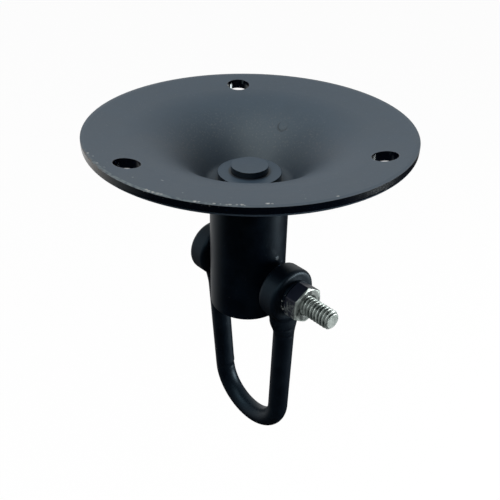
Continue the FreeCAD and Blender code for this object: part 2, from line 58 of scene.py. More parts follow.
# %% Place the camera
def unit(vector):
    """The same direction at length one."""
    return vector / np.linalg.norm(vector)


def add_camera(eye, target, roll, lens):
    """Camera at eye that looks at target; roll turns it about its line of sight, in radians."""
    forward = unit(target - eye)
    level = unit(np.cross(forward, [0.0, 0.0, 1.0]))
    upright = np.cross(level, forward)
    right = level * np.cos(roll) + upright * np.sin(roll)
    up = upright * np.cos(roll) - level * np.sin(roll)
    camera = bpy.data.objects.new("camera", bpy.data.cameras.new("camera"))
    camera.data.lens = lens
    camera.data.clip_start = 0.005
    pose = np.eye(4)
    pose[:3, :3] = np.stack([right, up, -forward], axis=1)
    pose[:3, 3] = eye
    camera.matrix_world = Matrix(pose.tolist())
    bpy.context.scene.collection.objects.link(camera)
    bpy.context.scene.camera = camera


EYE = np.array([144.85, -132.27, 80.18]) * MM
TARGET = np.array([0.42, 0.45, -43.50]) * MM
add_camera(EYE, TARGET, roll=0.0215, lens=50.2)
print("camera is %.0f mm from the middle of the hook" % (np.linalg.norm(EYE - TARGET) / MM))

# %% [markdown]
# ## The room
#
# The hook hangs in the air, so the pale floor lies well below it. The camera sees white all round.
# Gloss sees a room that is white above and behind the hook, on its left, and fades to almost nothing
# towards the camera and the right, as in a photo taken towards a bright wall. Black paint is then
# black where it faces the camera, and slate grey where it mirrors the wall at a low angle.
#
# The node Light Path tells what kind of ray asks for light. The floor and the world both use it.


# %% White for the camera
def join(tree, source, target):
    """Links an output to an input."""
    tree.links.new(source, target)


def whiteness(tree, share):
    """Two outputs: share for rays of the camera and through glass, else 0; and 1 for gloss, else 0."""
    path = tree.nodes.new("ShaderNodeLightPath")
    seen = tree.nodes.new("ShaderNodeMath")
    seen.operation = "MAXIMUM"
    join(tree, path.outputs["Is Camera Ray"], seen.inputs[0])
    join(tree, path.outputs["Is Transmission Ray"], seen.inputs[1])
    factor = tree.nodes.new("ShaderNodeMath")
    factor.operation = "MULTIPLY"
    factor.inputs[1].default_value = share
    join(tree, seen.outputs[0], factor.inputs[0])
    return factor.outputs[0], path.outputs["Is Glossy Ray"]


# %% [markdown]
# The floor is a mix of plain white and a little matt paint, because only the matt part shows the
# hook's shadow. Gloss looks through the floor, to the same room as above it.


# %% Lay the floor
def add_floor(height, half_side, white_share):
    """Square floor at a height, white to the camera by the share white_share and clear to gloss."""
    corners = np.array([[-1, -1], [1, -1], [1, 1], [-1, 1]]) * half_side
    mesh = bpy.data.meshes.new("floor")
    mesh.from_pydata([(x, y, height) for x, y in corners.tolist()], [], [(0, 1, 2, 3)])
    floor = bpy.data.objects.new("floor", mesh)
    bpy.context.scene.collection.objects.link(floor)
    material = bpy.data.materials.new("pale_floor")
    material.use_nodes = True
    tree = material.node_tree
    matt = tree.nodes["Principled BSDF"]
    matt.inputs["Base Color"].default_value = (0.8, 0.8, 0.8, 1)
    matt.inputs["Roughness"].default_value = 0.9
    white = tree.nodes.new("ShaderNodeEmission")
    white.inputs["Strength"].default_value = 1.05
    clear = tree.nodes.new("ShaderNodeBsdfTransparent")
    factor, glossy = whiteness(tree, white_share)
    lit = tree.nodes.new("ShaderNodeMixShader")
    seen = tree.nodes.new("ShaderNodeMixShader")
    for source, target in (
        (factor, lit.inputs[0]), (matt.outputs[0], lit.inputs[1]), (white.outputs[0], lit.inputs[2]),
        (glossy, seen.inputs[0]), (lit.outputs[0], seen.inputs[1]), (clear.outputs[0], seen.inputs[2]),
        (seen.outputs[0], tree.nodes["Material Output"].inputs["Surface"]),
    ):
        join(tree, source, target)
    mesh.materials.append(material)
    print("floor %.0f m wide, %.2f m below the ceiling" % (2 * half_side, -height))


add_floor(height=-0.42, half_side=6.0, white_share=0.92)

# %% [markdown]
# The world is one dot product, of the direction in which a ray looks and the direction of the bright
# wall. Where it is high the room is white, and where it is low the room is dim.


# %% Make the world
def add_world(away, dark_below, white_above, dim, ambient):
    """Room in gloss: dim where the dot product with away is low, white where it is high.

    Matt surfaces get ambient from every side, and the camera sees white.
    """
    world = bpy.data.worlds.new("room")
    bpy.context.scene.world = world
    world.use_nodes = True
    tree = world.node_tree
    place = tree.nodes.new("ShaderNodeTexCoord")
    side = tree.nodes.new("ShaderNodeVectorMath")
    side.operation = "DOT_PRODUCT"
    side.inputs[1].default_value = away
    join(tree, place.outputs["Generated"], side.inputs[0])
    fade = tree.nodes.new("ShaderNodeMapRange")
    fade.interpolation_type = "SMOOTHSTEP"
    limits = {"From Min": dark_below, "From Max": white_above, "To Min": dim, "To Max": 1.0}
    for name, number in limits.items():
        fade.inputs[name].default_value = number
    join(tree, side.outputs["Value"], fade.inputs["Value"])
    factor, glossy = whiteness(tree, 1.0)
    gloss = tree.nodes.new("ShaderNodeMix")
    gloss.inputs[2].default_value = ambient
    strength = tree.nodes.new("ShaderNodeMix")
    strength.inputs[3].default_value = 1.0
    back = tree.nodes["Background"]
    back.inputs["Color"].default_value = (1, 1, 1, 1)
    for source, target in (
        (glossy, gloss.inputs[0]), (fade.outputs[0], gloss.inputs[3]), (factor, strength.inputs[0]),
        (gloss.outputs[0], strength.inputs[2]), (strength.outputs[0], back.inputs["Strength"]),
    ):
        join(tree, source, target)
    print("world:", len(tree.nodes), "nodes")


add_world(away=(-0.70, 0.05, 0.71), dark_below=-0.20, white_above=0.65, dim=0.010, ambient=0.03)

# %% [markdown]
# One large lamp overhead, a little towards the camera, lights what faces up. A small one on the
# right, below the hook's middle, is mirrored as the narrow highlight on the barrel and the legs.


# %% Hang the lamps
def add_softbox(name, place, side, watts):
    """Square area lamp that looks at the middle of the hook."""
    lamp = bpy.data.lights.new(name, "AREA")
    lamp.size = side
    lamp.energy = watts
    holder = bpy.data.objects.new(name, lamp)
    back = unit(np.array(place) - TARGET)
    across = unit(np.cross([0.0, 0.0, 1.0], back))
    pose = np.eye(4)
    pose[:3, :3] = np.stack([across, np.cross(back, across), back], axis=1)
    pose[:3, 3] = place
    holder.matrix_world = Matrix(pose.tolist())
    bpy.context.scene.collection.objects.link(holder)
    print("%-9s lamp, %.2f m wide, %.2f m from the hook" % (name, side, np.linalg.norm(place - TARGET)))


add_softbox("overhead", (0.20, -0.48, 0.95), side=1.3, watts=10.6)
add_softbox("side", (0.71, 0.73, -0.18), side=0.42, watts=9.5)
bpy.context.scene.view_settings.view_transform = "Standard"

# %% [markdown]
# ## From a grid of points to a mesh
#
# Every new piece is a grid of points: each row is a closed ring round the piece, and the rows follow
# each other along it. Three small helpers are enough. `skin` weaves the faces, closes the ends and
# makes them face outwards, which it knows from the sign of the volume. `soften` rounds the corners
# of a profile, because no real edge is perfectly sharp and only a rounded one catches the light.
# `spun` turns a profile about the cross bolt. Measures are in millimetres, and the last step turns
# them into metres.


# %% Helpers for the grids
def skin(name, points, loop=False):
    """Mesh of a grid of points.

    loop joins the last ring to the first, else a point in the middle closes each end.
    """
    rings, columns = points.shape[:2]
    index = np.arange(rings * columns).reshape(rings, columns)
    here = index if loop else index[:-1]
    there = np.roll(index, -1, axis=0) if loop else index[1:]
    quads = np.stack([here, np.roll(here, -1, 1), np.roll(there, -1, 1), there], -1).reshape(-1, 4)
    places = points.reshape(-1, 3)
    faces = quads.tolist()
    if not loop:
        places = np.concatenate([places, points[[0, -1]].mean(axis=1)])
        for ring, middle in ((index[0][::-1], rings * columns), (index[-1], rings * columns + 1)):
            fan = np.stack([ring, np.roll(ring, -1), np.full(columns, middle)], -1)
            faces += fan.tolist()
    a, b, c, d = (places[quads[:, k]] for k in range(4))
    volume = np.einsum("ij,ij->", a, np.cross(b, c) + np.cross(c, d))
    if volume < 0:
        faces = [face[::-1] for face in faces]
    mesh = bpy.data.meshes.new(name)
    mesh.from_pydata(places.tolist(), [], faces)
    mesh.shade_smooth()
    piece = bpy.data.objects.new(name, mesh)
    bpy.context.scene.collection.objects.link(piece)
    print("%-14s %6d faces" % (name, len(faces)))
    return piece


MOST_OF_A_SIDE = 0.38
GUARD_RING = 1.25


def soften(corners, reach, loop=False, steps=4):
    """Rounds a profile given as rings of corners: each corner becomes a parabola.

    The parabola leaves the two sides at the distance reach from the corner, or less on a short side,
    and one more ring on each side of it keeps the flat faces flat in the shading.
    """
    def toward(neighbour):
        way = neighbour - corners
        length = np.maximum(np.linalg.norm(way, axis=-1, keepdims=True), 1e-9)
        return way * np.minimum(reach / length, MOST_OF_A_SIDE)

    back = toward(np.roll(corners, 1, axis=0))
    ahead = toward(np.roll(corners, -1, axis=0))
    t = np.linspace(0, 1, steps + 1).reshape(-1, 1, 1, 1)
    curve = corners + (1 - t) ** 2 * back + t**2 * ahead
    before = corners + GUARD_RING * back
    after = corners + GUARD_RING * ahead
    rings = np.concatenate([before[None], curve, after[None]])
    rings = rings.transpose(1, 0, 2, 3)
    if loop:
        return rings.reshape(-1, *corners.shape[1:])
    inner = rings[1:-1].reshape(-1, *corners.shape[1:])
    return np.concatenate([corners[:1], inner, corners[-1:]])


def spun(profile, angle, height):
    """Grid of points of a profile of (along, radius) pairs turned about the bolt's axis."""
    along, radius = profile[..., 0], profile[..., 1]
    return np.stack([along, radius * np.cos(angle), radius * np.sin(angle) + height], -1) * MM


# %% [markdown]
# ## Hexagons
#
# In a plane across the axis a hexagon is a radius that depends on the angle: half the distance
# across the flats, divided by the cosine of the angle from the middle of the flat. The bevel of a
# nut is a cone that cuts the corners off, so its edge on each flat is a curve: where the cone is as
# wide as the hexagon. The columns of the grid crowd together at the corners, which are a little round.

# %% The hexagon's radius and its columns
ACROSS_FLATS = 11.1
BOLT_DEPTH = 50.5
SIDE_COLUMNS = 24
CROWDING = 0.86


def hexagon_columns(turn):
    """Angles round a hexagon, crowded at its six corners; turn is the first corner's angle in degrees."""
    t = np.arange(SIDE_COLUMNS) / SIDE_COLUMNS
    crowded = t - CROWDING * np.sin(2 * np.pi * t) / (2 * np.pi)
    return (np.radians(turn) + (np.arange(6)[:, None] + crowded) * np.pi / 3).ravel()


def hexagon_radius(angle, turn, across, sharpness=60.0):
    """Radius of a hexagon at an angle: the nearest of its three pairs of flats.

    A mean with the high power sharpness takes the place of the nearest, which rounds the corners.
    """
    normals = np.radians(turn + 30) + np.arange(3)[:, None] * np.pi / 3
    reach = np.abs(np.cos(angle - normals)) ** sharpness
    return across / 2 * reach.sum(axis=0) ** (-1 / sharpness)


def rings_of(*corners):
    """Stacks (along, radius) pairs, each a number or one value a column, into an array of rings."""
    return np.stack([np.stack(np.broadcast_arrays(a + 0.0 * r, r + 0.0 * a), -1) for a, r in corners])


# %% [markdown]
# ## The cross bolt
#
# The bolt is one closed surface: button head with its hexagon socket, shank, thread and end. A screw
# thread is the plain shank with its radius lowered by a groove whose phase runs with the length
# minus the angle, so that it climbs by one pitch in one turn. The flanks lean 60 degrees to each
# other, the crests and roots are narrow flats, and a little smoothing stands for the rolled thread
# under its zinc.

# %% Make the bolt
HEAD_BACK, HEAD_FRONT, BOLT_END = -23.75, -20.45, 38.75
HEAD_RADIUS, HEAD_ROUND = 5.55, 2.4
SOCKET_FLATS, SOCKET_DEPTH = 4.0, 2.0
BOLT_RADIUS, PITCH = 6.35 / 2, 1.27
THREAD_START, GROOVE = 14.0, 0.58 * PITCH
CREST, FLANK, ROLLED = 0.10, 0.70, 0.3
ROWS_A_TURN = 22
NECK = 0.15
TIP = 0.75
EDGE = 0.13


def thread_depth(along, angle):
    """Depth of the groove: zero on the crest, then a 60 degree flank down to a flat root.

    CREST and FLANK are shares of half a pitch, and ROLLED is the share of a smooth step in the flank.
    """
    phase = (along / PITCH - angle / (2 * np.pi)) % 1.0
    off_crest = np.abs(phase - 0.5) * 2
    flank = np.clip((off_crest - CREST) / FLANK, 0, 1)
    rounded = (1 - ROLLED) * flank + ROLLED * flank**2 * (3 - 2 * flank)
    run_in = np.clip((along - THREAD_START) / (2 * PITCH), 0, 1)
    return GROOVE * rounded * run_in


def make_bolt():
    """Rings from the floor of the socket over the domed head, along the thread, to the end face."""
    angle = hexagon_columns(0)
    socket = hexagon_radius(angle, 0, SOCKET_FLATS)
    quarter = np.linspace(0, np.pi / 2, 7)
    dome = [
        (HEAD_BACK + HEAD_ROUND * (1 - np.cos(t)), HEAD_RADIUS - HEAD_ROUND * (1 - np.sin(t)) + 0 * socket)
        for t in quarter
    ]
    head = soften(rings_of(
        (HEAD_BACK + SOCKET_DEPTH, 0.2 * socket), (HEAD_BACK + SOCKET_DEPTH, socket), (HEAD_BACK, socket),
        *dome, (HEAD_FRONT, HEAD_RADIUS + 0 * socket), (HEAD_FRONT, BOLT_RADIUS + NECK + 0 * socket),
        (HEAD_FRONT + NECK, BOLT_RADIUS + 0 * socket),
    ), EDGE)
    along = np.concatenate([
        np.linspace(HEAD_FRONT + 1, THREAD_START, 12),
        np.arange(THREAD_START, BOLT_END, PITCH / ROWS_A_TURN)[1:],
    ])[:, None]
    radius = BOLT_RADIUS - thread_depth(along, angle)
    cone = BOLT_RADIUS - TIP + (BOLT_END - along)
    body = np.stack([along + 0 * radius, np.minimum(radius, cone)], -1)
    end = np.minimum(BOLT_RADIUS - TIP, BOLT_RADIUS - thread_depth(BOLT_END, angle))
    # The rings close to the edge of the end face keep it flat in the shading.
    tip = rings_of(
        (BOLT_END - 0.03, end + 0.03), (BOLT_END, end - 0.04), (BOLT_END, end - 0.08),
        (BOLT_END, end * 0.6), (BOLT_END, end * 0.25),
    )
    return skin("threaded_bolt", spun(np.concatenate([head, body, tip]), angle, -BOLT_DEPTH))


bolt = make_bolt()

# %% [markdown]
# ## The nut
#
# The nut's section is a closed loop, from the bore over the back, the flats and the bevelled front
# to the bore again, so its grid is joined end to end. Its first corner stands 28 degrees above the
# level, as it was left when it was tightened.

# %% Make the nut
NUT_BACK, NUT_FRONT, NUT_TURN = 23.15, 28.25, 28.0
NUT_PLAY = 0.04
FACE_RADIUS = 0.985 * ACROSS_FLATS / 2
CONE_SLOPE = np.tan(np.radians(30))
BORE_CHAMFER = 0.4


def make_nut():
    """Closed section of the nut, carried round the axis.

    The bevel's width is the flats' radius past the round face, times the slope of the cone.
    """
    angle = hexagon_columns(NUT_TURN)
    flats = hexagon_radius(angle, NUT_TURN, ACROSS_FLATS)
    bevel = (flats - FACE_RADIUS) * CONE_SLOPE
    bore = BOLT_RADIUS + NUT_PLAY + 0 * flats
    section = rings_of(
        (NUT_BACK + BORE_CHAMFER, bore), (NUT_BACK, bore + BORE_CHAMFER),
        (NUT_BACK, FACE_RADIUS + 0 * flats), (NUT_BACK + bevel, flats),
        (NUT_FRONT - bevel, flats), (NUT_FRONT, FACE_RADIUS + 0 * flats),
        (NUT_FRONT, bore + 0.55), (NUT_FRONT - 0.5, bore),
    )
    return skin("bevelled_nut", spun(soften(section, EDGE, loop=True), angle, -BOLT_DEPTH), loop=True)


nut = make_nut()

# %% [markdown]
# ## The spring washer
#
# A spring washer is a square wire wound into one turn and cut. Here the section is carried along the
# turn, and its two ends stand a little apart, as they do when the nut has pressed the washer flat.
# The rings of this grid go round the wire, so the ends are closed by `skin`.

# %% Make the spring washer
WASHER_BACK, WASHER_FRONT = 22.05, 23.15
WASHER_INSIDE, WASHER_OUTSIDE = 3.22, 5.9
WASHER_EDGE, WASHER_ROWS = 0.12, 110
FACE_GAP = 0.02
SLIT = 0.16


def make_washer():
    """Rounded square section, carried from one side of the slit to the other."""
    low, high = WASHER_BACK + FACE_GAP, WASHER_FRONT - FACE_GAP
    corners = np.array([
        [low, WASHER_INSIDE], [low, WASHER_OUTSIDE], [high, WASHER_OUTSIDE], [high, WASHER_INSIDE],
    ])
    section = soften(corners[:, None, :], WASHER_EDGE, loop=True)[:, 0]
    turn = np.pi / 2 + np.linspace(SLIT / 2, 2 * np.pi - SLIT / 2, WASHER_ROWS)[:, None]
    along = section[:, 0] + 0 * turn
    radius = section[:, 1] + 0 * turn
    return skin("split_washer", spun(np.stack([along, radius], -1), turn, -BOLT_DEPTH))


washer = make_washer()

# %% [markdown]
# ## The shackle
#
# The shackle is forged from one rod: the ends are hammered into thick round eyes and the rod is
# bent to a U. A rod that flows into an eye has no simple formula, but it is easy to say how far
# a point is from the rod and how far from the eye, and a smooth minimum of the two distances is a
# shape that blends them like forged steel. So the grid is found by search: from the centre line a ray
# goes out in every direction, and halving the interval forty times finds where the blend ends.

# %% Measures of the shackle
EYE_RADIUS, EYE_WIDTH, EYE_SOFT = 9.15, 7.3, 1.4
EYE_OFFSET, SIDE_PLAY = 17.55, 0.8
SWING = np.radians(2.1)
ROD = 3.55
LEAN = np.radians(3.5)
LEG_ROOT, BOW_DEPTH = 8.0, 66.8
STRAIGHT_TOP, EYE_FOOT, EYE_TOP = -20.0, -7.0, np.radians(89.3)
BEND = (EYE_OFFSET * np.cos(LEAN) - (BOW_DEPTH - LEG_ROOT) * np.sin(LEAN)) / (1 - np.sin(LEAN))
KNEE = BEND - BOW_DEPTH - BEND * np.sin(LEAN)
COLUMNS = 80
print("bend of %.1f mm radius, from the knees %.1f mm below the bolt" % (BEND, -KNEE))


def centre_line():
    """Stations of half the bow, from its lowest point to the top of the eye: x, z, lean of the section.

    A round bend, a straight leg that leans inwards, and the upright through the eye follow each other.
    """
    sweep = np.linspace(-np.pi / 2, -LEAN, 60)
    eye_angle = np.linspace(np.arcsin(EYE_FOOT / EYE_RADIUS), EYE_TOP, 100)
    z = np.concatenate([
        np.linspace(KNEE, STRAIGHT_TOP, 60)[1:],
        np.linspace(STRAIGHT_TOP, EYE_FOOT, 60)[1:],
        EYE_RADIUS * np.sin(eye_angle[1:]),
    ])
    x = np.minimum(EYE_OFFSET, EYE_OFFSET + (z + LEG_ROOT) * np.tan(LEAN))
    upright = np.clip((z - STRAIGHT_TOP) / 12, 0, 1)
    lean = -LEAN * (1 - upright**2 * (3 - 2 * upright))
    return (
        np.concatenate([BEND * np.cos(sweep), x]),
        np.concatenate([BEND - BOW_DEPTH + BEND * np.sin(sweep), z]),
        np.concatenate([sweep, lean]),
    )


# %% [markdown]
# The eye is a thick disc with rounded rims, and the leg a rod of changing width. Where their two
# distances are close to each other, `blend` dips below both, and that dip is the fillet between them.

# %% The distances and their blend
FLARE_HEIGHT = 9.5
THINNING = 0.25


def eye_distance(x, y, z):
    """Distance to a thick disc with rounded rims, about the bolt's axis."""
    side = np.hypot(y, z) - (EYE_RADIUS - EYE_SOFT)
    face = np.abs(x - EYE_OFFSET) - (EYE_WIDTH / 2 - EYE_SOFT)
    outside = np.hypot(np.maximum(side, 0), np.maximum(face, 0))
    return outside + np.minimum(np.maximum(side, face), 0) - EYE_SOFT


def leg_distance(u, y, z, root, flare):
    """Distance to the rod, which widens across the bolt from the level root up and fades inside the eye."""
    climb = np.clip((z - root) / FLARE_HEIGHT, 0, 1)
    wide = ROD + flare * climb**2 * (3 - 2 * climb)
    thick = ROD - THINNING * climb
    inside = np.clip((z + 6.0) / 4.0, 0, 1)
    return (np.hypot(u / thick, y / wide) - 1) * thick + 12 * inside**2


def blend(first, second, width):
    """Smooth minimum: where two distances are nearer to each other than width, it dips below both."""
    closeness = np.maximum(width - np.abs(first - second), 0) / width
    return np.minimum(first, second) - closeness**2 * width / 4


# %% [markdown]
# From each station of the centre line eighty rays leave in all directions of its section. A ray
# starts inside the shackle and ends outside, so halving the stretch between finds the surface. The
# few marks of the hammer are then pressed in along the same rays.

# %% Search for the surface along rays
FILLET = 1.3
RAY = 13.0
HALVINGS = 40


def half_shackle(marks, root, flare):
    """Grid of points of one half; marks(z, angle) is how far its surface lies below the smooth shape.

    flare holds how much the leg widens towards -y and towards +y. The rays are turned by the chord of
    the eye at their level, so that they meet the wide eye as evenly as the thin rod.
    """
    x0, z0, lean = (value[:, None] for value in centre_line())
    angle = np.arange(COLUMNS) * 2 * np.pi / COLUMNS
    chord = np.sqrt(np.maximum(EYE_RADIUS**2 - z0**2, 0.3)) * (z0 > -8) + ROD * (z0 <= -8)
    u, y = ROD * np.cos(angle), np.maximum(chord, 0.6) * np.sin(angle)
    u, y = u / np.hypot(u, y), y / np.hypot(u, y)

    def outside(reach):
        px, py, pz = x0 + reach * u * np.cos(lean), reach * y, z0 + reach * u * np.sin(lean)
        leg = leg_distance(reach * u, py, z0, root, np.where(py < 0, *flare))
        return blend(leg, eye_distance(px, py, pz), FILLET) > 0

    inner, outer = np.zeros_like(u), np.full_like(u, RAY)
    for _ in range(HALVINGS):
        middle = (inner + outer) / 2
        outer = np.where(outside(middle), middle, outer)
        inner = np.where(outside(middle), inner, middle)
    reach = inner - marks(z0, np.arctan2(y, u))
    return np.stack([x0 + reach * u * np.cos(lean), reach * y, z0 + reach * u * np.sin(lean)], -1)


def dip(value, middle, width):
    """A smooth dip: a bell curve of height one."""
    return np.exp(-(((value - middle) / width) ** 2))


def front_marks(z, angle):
    """Hammer creases across the front leg, just under its eye."""
    facing = dip(angle, np.radians(-32), np.radians(30))
    return facing * (0.32 * dip(z, -13.9, 0.40) + 0.36 * dip(z, -16.9, 0.45))


def back_marks(z, angle):
    """The mark of the bending tool at the knee of the back leg."""
    facing = dip(np.abs(angle), np.radians(150), np.radians(50))
    return facing * (0.22 * dip(z, KNEE + 0.5, 0.8) - 0.10 * dip(z, KNEE + 2.2, 0.9))


# %% [markdown]
# The back half is made like the front one, with its rows reversed and its x mirrored. The whole bow
# is one closed surface without holes, so the bores of the eyes are cut afterwards by a Boolean
# modifier, as a drill would cut them, and their edges stay sharp.

# %% Join the halves and drill the eyes
BORE_COLUMNS = 64
BORE_PLAY = 0.08
SHARP_ANGLE = np.radians(50)


def make_shackle():
    """Both halves in one grid, moved by SIDE_PLAY towards the nut and swung by SWING about the bolt."""
    front = half_shackle(front_marks, root=-18.0, flare=(2.9, 2.3))
    back = half_shackle(back_marks, root=-15.5, flare=(1.2, 2.0))
    back = back[::-1] * np.array([-1, 1, 1])
    x, y, z = np.moveaxis(np.concatenate([back, front[1:]]), -1, 0)
    along = x + SIDE_PLAY
    across = y * np.cos(SWING) - z * np.sin(SWING)
    up = y * np.sin(SWING) + z * np.cos(SWING)
    points = np.stack([along, across, up - BOLT_DEPTH], -1)
    return skin("forged_shackle", points * MM)


def drill(piece, radius, reach):
    """Takes a round bore along the bolt's axis out of a piece."""
    angle = np.arange(BORE_COLUMNS) * 2 * np.pi / BORE_COLUMNS
    ends = np.array([[-reach, radius], [reach, radius]])
    profile = ends[:, None, :] + np.zeros((2, BORE_COLUMNS, 1))
    cutter = skin("drill", spun(profile, angle, -BOLT_DEPTH))
    cut = piece.modifiers.new("bore", "BOOLEAN")
    cut.operation = "DIFFERENCE"
    cut.solver = "EXACT"
    cut.object = cutter
    scene_now = bpy.context.evaluated_depsgraph_get()
    drilled = bpy.data.meshes.new_from_object(piece.evaluated_get(scene_now))
    piece.modifiers.remove(cut)
    piece.data = drilled
    piece.data.name = piece.name
    bpy.data.objects.remove(cutter)
    drilled.shade_smooth()
    drilled.set_sharp_from_angle(angle=SHARP_ANGLE)


shackle = make_shackle()
drill(shackle, radius=BOLT_RADIUS + BORE_PLAY, reach=40.0)
print("shackle after drilling: %d faces" % len(shackle.data.polygons))

# %% [markdown]
# ## Who moves with whom
#
# The bolt, its nut and the washer turn with the barrel, and the shackle swings on the bolt. Each new
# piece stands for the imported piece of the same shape.

# %% Bodies, nodes and slots
for piece, body, node, slot in (
    (bolt, "swivel", "cross_bolt", "zinc_plating"),
    (nut, "swivel", "hex_nut", "zinc_plating"),
    (washer, "swivel", "spring_washer", "body_paint"),
    (shackle, "bow", "shackle", "body_paint"),
):
    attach(piece, body)
    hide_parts(node)
    print("%-14s stands for %-13s and moves with %s" % (piece.name, node, body))

# %% [markdown]
# ## Shader maths as sentences
#
# A material here is a sum of simple masks: how near a point is to the rim, how high a noise is there,
# how deep a scratch. One small class wraps a socket, so that such sums read as sums: every sign adds
# its Math node, and every other node comes from the method `node`.


# %% The class that wraps a socket
class Signal:
    """The output of a node; signs between signals and numbers add Math nodes."""

    def __init__(self, tree, socket):
        self.tree = tree
        self.socket = socket

    def node(self, kind, settings, values, output=0):
        """Adds a node: its settings first, then a number, a colour or a signal for each socket."""
        made = self.tree.nodes.new(kind)
        for name, value in settings.items():
            setattr(made, name, value)
        for key, value in values.items():
            if isinstance(value, Signal):
                self.tree.links.new(value.socket, made.inputs[key])
            else:
                made.inputs[key].default_value = value
        return Signal(self.tree, made.outputs[output])

    def math(self, operation, *terms):
        """Adds a Math node of the operation for the terms."""
        return self.node("ShaderNodeMath", {"operation": operation}, dict(enumerate(terms)))

    def __add__(self, other):
        return self.math("ADD", self, other)

    def __sub__(self, other):
        return self.math("SUBTRACT", self, other)

    def __rsub__(self, other):
        return self.math("SUBTRACT", other, self)

    def __mul__(self, other):
        return self.math("MULTIPLY", self, other)

    def __pow__(self, other):
        return self.math("POWER", self, other)

    __radd__ = __add__
    __rmul__ = __mul__


# %% [markdown]
# ## Masks
#
# A few masks do most of the work. `rise` is 0 below one value and 1 above another, `near` is 1 at a
# value, `cloud` is noise of a given grain in millimetres, and `distance` says how far a place is from
# a fixed point. `mixed` goes from one colour to another by such a mask.


# %% The masks
def rise(signal, low, high):
    """0 where the signal is below low, 1 above high, and smooth between them."""
    values = {"Value": signal, "From Min": low, "From Max": high}
    return signal.node("ShaderNodeMapRange", {"interpolation_type": "SMOOTHSTEP"}, values)


def near(signal, middle, width):
    """1 where the signal is at the middle, and 0 further from it than width."""
    return 1 - rise(signal.math("ABSOLUTE", signal - middle), 0.0, width)


def cloud(place, grain, detail=2.0, roughness=0.5):
    """Noise from 0 to 1 whose blotches are about grain millimetres wide."""
    values = {"Vector": place, "Scale": 1 / (grain * MM), "Detail": detail, "Roughness": roughness}
    return place.node("ShaderNodeTexNoise", {}, values)


def mixed(factor, first, second):
    """Colour that goes from the first to the second as the factor goes from 0 to 1."""
    values = {0: factor, 6: first, 7: second}
    return factor.node("ShaderNodeMix", {"data_type": "RGBA"}, values, output=2)


def distance(place, middle):
    """Distance from a fixed point, in metres."""
    settings = {"operation": "DISTANCE"}
    return place.node("ShaderNodeVectorMath", settings, {0: place, 1: middle}, output="Value")


# %% [markdown]
# Every finish starts from the object's own coordinates and ends at the same few sockets: colour,
# roughness, sometimes metal, and a height that tilts the surface through a Bump node.


# %% Start and end of a finish
def axis_parts(place):
    """The three coordinates of a place as signals, in millimetres."""
    split = place.node("ShaderNodeSeparateXYZ", {}, {"Vector": place})
    node = split.socket.node
    return [Signal(place.tree, node.outputs[k]) * (1 / MM) for k in range(3)]


def new_finish(name):
    """An empty material: its surface node and the signal of the object's own coordinates."""
    material = bpy.data.materials.new(name)
    material.use_nodes = True
    tree = material.node_tree
    surface = tree.nodes["Principled BSDF"]
    place = Signal(tree, tree.nodes.new("ShaderNodeTexCoord").outputs["Object"])
    return material, surface, place


def coat(surface, place, colour, roughness, height, metal=None):
    """Sends the finished signals to the surface; height is in millimetres."""
    normal = place.node("ShaderNodeBump", {}, {"Height": height * MM, "Distance": 1.0, "Strength": 1.0})
    wires = {"Base Color": colour, "Roughness": roughness, "Normal": normal}
    if metal is not None:
        wires["Metallic"] = metal
    for name, signal in wires.items():
        place.tree.links.new(signal.socket, surface.inputs[name])


# %% [markdown]
# ## Marks
#
# Chips and drops are small round spots with a ragged edge, at places given in millimetres. For each
# the distance from its middle, made uneven by a noise, is compared with its radius, and `spots` keeps
# the strongest at each place.


# %% Round spots at given places
def spots(place, middles, grain=0.4, raggedness=0.9):
    """Strength of the strongest spot (x, y, z, radius, strength) at each place, 0 outside them all."""
    noise = (cloud(place, grain, detail=3) - 0.5) * (raggedness * MM)
    found = 0.0 * noise
    for x, y, z, radius, strength in middles:
        uneven = distance(place, (x * MM, y * MM, z * MM)) + noise
        spot = 1 - rise(uneven, 0.5 * radius * MM, 1.1 * radius * MM)
        found = found.math("MAXIMUM", found, spot * strength)
    return found


def around(*polar):
    """Spots (bearing in degrees, radius, height, size, strength) as (x, y, z, size, strength)."""
    return [
        (radius * np.cos(np.radians(bearing)), radius * np.sin(np.radians(bearing)), *rest)
        for bearing, radius, *rest in polar
    ]


# %% [markdown]
# ## Black paint
#
# The whole hook was sprayed a blue black. The paint is nearly black where it faces the dim side of
# the room and slate grey where it mirrors the white wall at a low angle, so most of the grey comes
# from its gloss. It has the fine orange peel of sprayed paint, faint clouds where the coat is
# thinner, and dust. The barrel is the glossiest and caught a few drops, the shackle is satin and a
# little paler, and the side of the washer is chipped down to the steel.

# %% Paint of the barrel, the shackle and the washer
PAINT_DARK = (0.0004, 0.0016, 0.0050, 1)
PAINT_LIGHT = (0.0024, 0.0060, 0.0125, 1)
PAINT_SATIN = (0.0030, 0.0062, 0.0115, 1)
BARE_STEEL = (0.55, 0.60, 0.58, 1)
FINE_DUST = (0.10, 0.12, 0.14, 1)
DROP_TONE = (0.16, 0.19, 0.21, 1)
DROPS = around(
    (5.9, 12.6, -41.2, 0.8, 0.6), (18.7, 12.6, -43.7, 0.4, 0.3), (-24.0, 12.6, -47.0, 0.25, 0.1),
    (-70.0, 12.6, -55.0, 0.3, 0.1),
)


